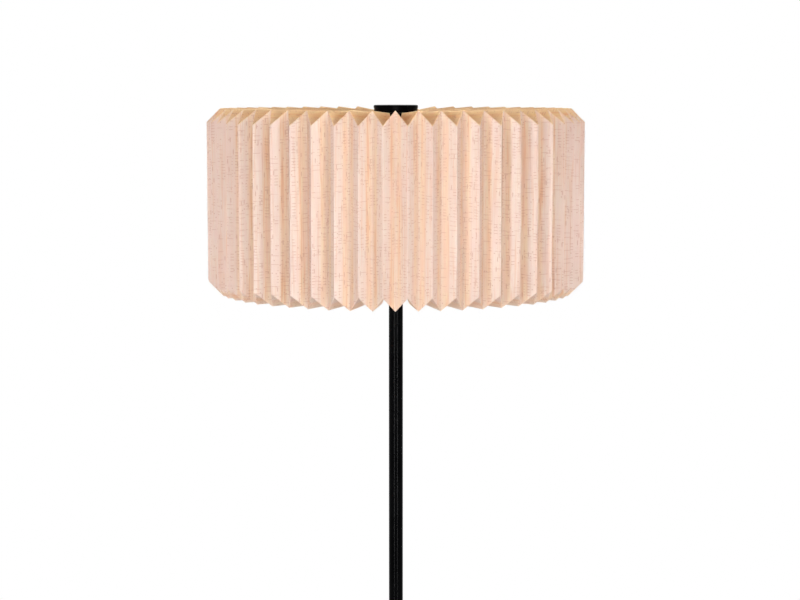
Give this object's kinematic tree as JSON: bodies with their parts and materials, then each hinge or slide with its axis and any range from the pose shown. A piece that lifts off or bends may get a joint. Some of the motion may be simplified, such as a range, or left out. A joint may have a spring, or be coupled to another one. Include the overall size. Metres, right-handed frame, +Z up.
{
  "type": "floor lamp",
  "caption": "Floor lamp: pleated paper drum shade on a carrier at the head of a slim black pole, under a round cap, with two lampholders inside and a round weighted base.",
  "frame": {"origin": "on the pole's axis at floor level, the middle of the bounding box's bottom", "axes": "+Z up along the pole; -Y towards the viewer's side, opposite the cord inlet; +X to the viewer's right, along the two lampholders' axis"},
  "size_m": [0.45, 0.45, 1.5],
  "materials": {
    "black_steel": "satin black powder coat",
    "zinc_steel": "bright zinc plate",
    "pad_rubber": "matte",
    "black_plastic": "moulded, fine grain",
    "white_plastic": "moulded",
    "porcelain": "glazed",
    "brass": "drawn sheet",
    "bulb_metal": "rolled thread",
    "opal_glass": "opal white, satin",
    "pleated_paper": "matte paper with vertical grain and flecks"
  },
  "bodies": {
    "stand": {"base_plate": "black_steel", "base_cover": "black_steel", "pole_collar": "black_steel", "pole_lower": "black_steel", "pole_middle": "black_steel", "pole_upper": "black_steel", "cluster_body": "black_steel", "cluster_lid": "black_steel", "stem_tube": "black_steel", "base_cover_screws": "zinc_steel", "foot_nipple": "zinc_steel", "foot_washer": "zinc_steel", "foot_nut": "zinc_steel", "sleeve_lower": "zinc_steel", "sleeve_middle": "zinc_steel", "sleeve_upper": "zinc_steel", "stud_lower": "zinc_steel", "stud_middle": "zinc_steel", "stud_upper": "zinc_steel", "cluster_nut": "zinc_steel", "stem_nipple": "zinc_steel", "stem_nut": "zinc_steel", "stem_sleeve": "zinc_steel", "stem_plug": "zinc_steel", "stem_washer": "zinc_steel", "side_nipple_left": "zinc_steel", "side_nipple_right": "zinc_steel", "foot_pads": "pad_rubber", "cord_gland": "black_plastic", "holder_lead_left": "black_plastic", "holder_lead_right": "black_plastic", "holder_cap_left": "black_plastic", "holder_cap_right": "black_plastic", "holder_shell_left": "black_plastic", "holder_shell_right": "black_plastic", "lead_connector": "white_plastic", "holder_insert_left": "porcelain", "holder_insert_right": "porcelain", "screw_shell_left": "brass", "screw_shell_right": "brass", "centre_contact_left": "brass", "centre_contact_right": "brass"},
    "shade": {"carrier_hub": "black_steel", "carrier_arms": "black_steel", "carrier_ring": "black_steel", "bottom_ring": "black_steel", "paper_sheet_1": "pleated_paper", "paper_sheet_2": "pleated_paper", "paper_sheet_3": "pleated_paper", "paper_sheet_4": "pleated_paper"},
    "cap_thread": {"cap_insert": "brass"},
    "cap": {"cap_disc": "black_steel"},
    "bulb_thread_left": {"bulb_contact_left": "black_plastic"},
    "bulb_left": {"bulb_base_left": "bulb_metal", "bulb_glass_left": "opal_glass"},
    "bulb_thread_right": {"bulb_contact_right": "black_plastic"},
    "bulb_right": {"bulb_base_right": "bulb_metal", "bulb_glass_right": "opal_glass"}
  },
  "joints": [
    {"name": "shade_turn", "type": "hinge", "parent": "stand", "child": "shade", "pos_m": [0, 0, 1.494], "axis": [0, 0, 1], "continuous": true},
    {"name": "cap_rise", "type": "slide", "parent": "stand", "child": "cap_thread", "axis": [0, 0, 1], "range_m": [0, 0.00625]},
    {"name": "cap_turn", "type": "hinge", "parent": "cap_thread", "child": "cap", "pos_m": [0, 0, 1.4982], "axis": [0, 0, 1], "range_deg": [0, 1800.5]},
    {"name": "bulb_travel_left", "type": "slide", "parent": "stand", "child": "bulb_thread_left", "axis": [-1, 0, 0], "range_m": [0, 0.01815]},
    {"name": "bulb_turn_left", "type": "hinge", "parent": "bulb_thread_left", "child": "bulb_left", "pos_m": [-0.1, 0, 1.388], "axis": [-1, 0, 0], "range_deg": [0, 1800.5]},
    {"name": "bulb_travel_right", "type": "slide", "parent": "stand", "child": "bulb_thread_right", "axis": [1, 0, 0], "range_m": [0, 0.01815]},
    {"name": "bulb_turn_right", "type": "hinge", "parent": "bulb_thread_right", "child": "bulb_right", "pos_m": [0.1, 0, 1.388], "axis": [1, 0, 0], "range_deg": [0, 1800.5]}
  ],
  "couplings": [
    {"joint": "cap_turn", "follows": "cap_rise", "rad_per_m": 5026.5},
    {"joint": "bulb_turn_left", "follows": "bulb_travel_left", "rad_per_m": 1730.9},
    {"joint": "bulb_turn_right", "follows": "bulb_travel_right", "rad_per_m": 1730.9}
  ]
}
